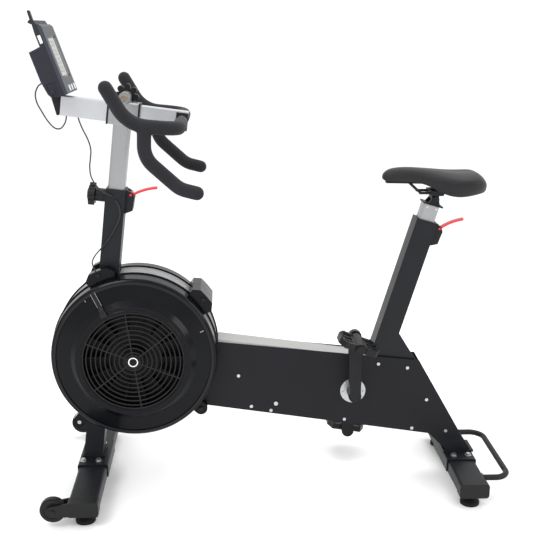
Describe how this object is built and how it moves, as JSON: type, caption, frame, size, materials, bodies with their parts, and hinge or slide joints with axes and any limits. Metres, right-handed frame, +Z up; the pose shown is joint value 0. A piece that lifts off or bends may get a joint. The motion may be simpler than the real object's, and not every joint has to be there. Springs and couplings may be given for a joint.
{
  "type": "air bike",
  "caption": "Exercise bike with a caged fan at the front, belt-driven by pedals, with a saddle, handlebar and display on sliding masts over two levelled floor bars.",
  "frame": {"origin": "on the floor, under the middle of the machine's bounding box", "axes": "+X to the rear of the bike, behind the saddle; +Y to its right side; +Z up"},
  "size_m": [1.2255, 0.548, 1.2405],
  "materials": {
    "frame_black": "satin black powder coat",
    "cover_black": "satin moulded cover",
    "shell_black": "glossy moulded shell",
    "grille_black": "black wire guard",
    "silver_tube": "silver anodised",
    "trim_grey": "light grey trim",
    "band_grey": "pale perforated band",
    "disc_silver": "brushed disc",
    "steel": "zinc plated",
    "black_plastic": "moulded black",
    "black_rubber": "black rubber",
    "belt_rubber": "ribbed belt",
    "foam": "fine-pored foam",
    "saddle_cover": "soft synthetic cover",
    "lever_red": "red moulded lever",
    "console_slate": "dark slate housing",
    "bezel_slate": "slate face frame",
    "screen": "grey-green display window",
    "button_white": "pale key",
    "cast_black": "black painted forging",
    "fan_blades": "black sheet steel",
    "cable_black": "cable jacket"
  },
  "bodies": {
    "base": {"main_frame": "frame_black", "top_trim": "trim_grey", "left_cover": "cover_black", "right_cover": "cover_black", "housing_screws": "steel", "bracket_bolts": "steel", "front_bracket": "frame_black", "rear_bracket": "frame_black", "front_stabilizer": "frame_black", "rear_stabilizer": "frame_black", "front_caps": "black_plastic", "rear_caps": "black_plastic", "rear_handle": "frame_black", "fan_shell_left": "shell_black", "fan_shell_right": "shell_black", "grille_left": "grille_black", "grille_right": "grille_black", "outlet_band": "band_grey", "bb_discs": "disc_silver", "drive_belt": "belt_rubber", "post_clamp_block": "frame_black", "seat_clamp_block": "frame_black", "lower_cable": "cable_black"},
    "drive": {"drive_spindle": "steel", "crank_left": "cast_black", "crank_right": "cast_black"},
    "left_pedal": {"pedal_left": "black_plastic"},
    "right_pedal": {"pedal_right": "black_plastic"},
    "fan": {"fan_shaft": "steel", "fan_wheels": "fan_blades"},
    "left_roller": {"wheel_left": "black_plastic"},
    "right_roller": {"wheel_right": "black_plastic"},
    "front_left_foot": {"foot_front_left": "black_rubber"},
    "front_right_foot": {"foot_front_right": "black_rubber"},
    "rear_left_foot": {"foot_rear_left": "black_rubber"},
    "rear_right_foot": {"foot_rear_right": "black_rubber"},
    "seat_mast": {"seat_post": "silver_tube", "post_cradle": "frame_black"},
    "saddle_tilter": {"saddle_clamp": "frame_black"},
    "saddle": {"saddle_frame": "black_plastic", "saddle_pad": "saddle_cover"},
    "seat_clamp_lever": {"seat_lever": "lever_red"},
    "post_clamp_lever": {"post_lever": "lever_red"},
    "handle_mast": {"handle_post": "silver_tube", "upper_cable": "cable_black"},
    "boom_knob": {"top_knob": "black_plastic"},
    "pull_pin": {"pin_knob": "black_plastic"},
    "handlebar": {"boom": "silver_tube", "boom_insert": "black_plastic", "bar_tube": "steel", "bar_foam": "foam", "console_bracket": "black_plastic", "console_cable": "cable_black"},
    "console": {"console_case": "console_slate", "console_bezel": "bezel_slate", "console_window": "screen"},
    "key_1": {"button_1": "button_white"},
    "key_2": {"button_2": "button_white"},
    "key_3": {"button_3": "button_white"},
    "damper": {"damper_lever": "black_plastic"}
  },
  "joints": [
    {"name": "crank_spin", "type": "hinge", "parent": "base", "child": "drive", "pos_m": [0.191, 0, 0.2644], "axis": [0, 1, 0], "continuous": true},
    {"name": "fan_spin", "type": "hinge", "parent": "base", "child": "fan", "pos_m": [-0.387, 0, 0.38], "axis": [0, 1, 0], "continuous": true},
    {"name": "left_pedal_spin", "type": "hinge", "parent": "drive", "child": "left_pedal", "pos_m": [0.18418, -0.137, 0.43426], "axis": [0, 1, 0], "continuous": true},
    {"name": "right_pedal_spin", "type": "hinge", "parent": "drive", "child": "right_pedal", "pos_m": [0.19782, 0.137, 0.09454], "axis": [0, 1, 0], "continuous": true},
    {"name": "left_roller_spin", "type": "hinge", "parent": "base", "child": "left_roller", "pos_m": [-0.5805, -0.254, 0.049], "axis": [0, 1, 0], "continuous": true},
    {"name": "right_roller_spin", "type": "hinge", "parent": "base", "child": "right_roller", "pos_m": [-0.5805, 0.254, 0.049], "axis": [0, 1, 0], "continuous": true},
    {"name": "front_left_level", "type": "slide", "parent": "base", "child": "front_left_foot", "axis": [0, 0, 1], "range_m": [-0.01, 0]},
    {"name": "front_right_level", "type": "slide", "parent": "base", "child": "front_right_foot", "axis": [0, 0, 1], "range_m": [-0.01, 0]},
    {"name": "rear_left_level", "type": "slide", "parent": "base", "child": "rear_left_foot", "axis": [0, 0, 1], "range_m": [-0.01, 0]},
    {"name": "rear_right_level", "type": "slide", "parent": "base", "child": "rear_right_foot", "axis": [0, 0, 1], "range_m": [-0.01, 0]},
    {"name": "seat_height", "type": "slide", "parent": "base", "child": "seat_mast", "axis": [0.2756, 0, 0.9613], "range_m": [-0.03, 0.14]},
    {"name": "saddle_tilt", "type": "hinge", "parent": "seat_mast", "child": "saddle_tilter", "pos_m": [0.39038, 0, 0.78419], "axis": [0, 1, 0], "range_deg": [-8, 8]},
    {"name": "saddle_fore_aft", "type": "slide", "parent": "saddle_tilter", "child": "saddle", "axis": [1, 0, 0], "range_m": [-0.015, 0.015]},
    {"name": "seat_lever_turn", "type": "hinge", "parent": "base", "child": "seat_clamp_lever", "pos_m": [0.40543, 0, 0.7057], "axis": [0, -1, 0], "range_deg": [0, 50]},
    {"name": "post_lever_turn", "type": "hinge", "parent": "base", "child": "post_clamp_lever", "pos_m": [-0.39004, 0, 0.79441], "axis": [0, -1, 0], "range_deg": [0, 50]},
    {"name": "handle_height", "type": "slide", "parent": "base", "child": "handle_mast", "axis": [0.1149, 0, 0.9934], "range_m": [-0.05, 0.1], "deforming": ["upper_cable"]},
    {"name": "knob_turn", "type": "hinge", "parent": "handle_mast", "child": "boom_knob", "pos_m": [-0.39798, 0.04, 1.03717], "axis": [0, 1, 0], "range_deg": [-90, 180]},
    {"name": "pin_pull", "type": "slide", "parent": "base", "child": "pull_pin", "axis": [-0.9934, 0, 0.1149], "range_m": [0, 0.01], "stiffness_N_per_m": 800, "springref_m": -0.004},
    {"name": "handle_reach", "type": "slide", "parent": "handle_mast", "child": "handlebar", "axis": [0.9925, 0, -0.1219], "range_m": [-0.04, 0.05], "deforming": ["upper_cable"]},
    {"name": "console_tilt", "type": "hinge", "parent": "handlebar", "child": "console", "pos_m": [-0.562, 0, 1.054], "axis": [0, 1, 0], "range_deg": [-10, 5], "deforming": ["console_cable"]},
    {"name": "press_key_1", "type": "slide", "parent": "console", "child": "key_1", "axis": [-0.9438, 0, -0.3305], "range_m": [0, 0.0012], "stiffness_N_per_m": 400, "springref_m": -0.0006},
    {"name": "press_key_2", "type": "slide", "parent": "console", "child": "key_2", "axis": [-0.9438, 0, -0.3305], "range_m": [0, 0.0012], "stiffness_N_per_m": 400, "springref_m": -0.0006},
    {"name": "press_key_3", "type": "slide", "parent": "console", "child": "key_3", "axis": [-0.9438, 0, -0.3305], "range_m": [0, 0.0012], "stiffness_N_per_m": 400, "springref_m": -0.0006},
    {"name": "damper_turn", "type": "hinge", "parent": "base", "child": "damper", "pos_m": [-0.387, -0.09, 0.38], "axis": [0, 1, 0], "range_deg": [-20, 12]}
  ],
  "couplings": [
    {"joint": "fan_spin", "follows": "crank_spin", "ratio": 5}
  ]
}
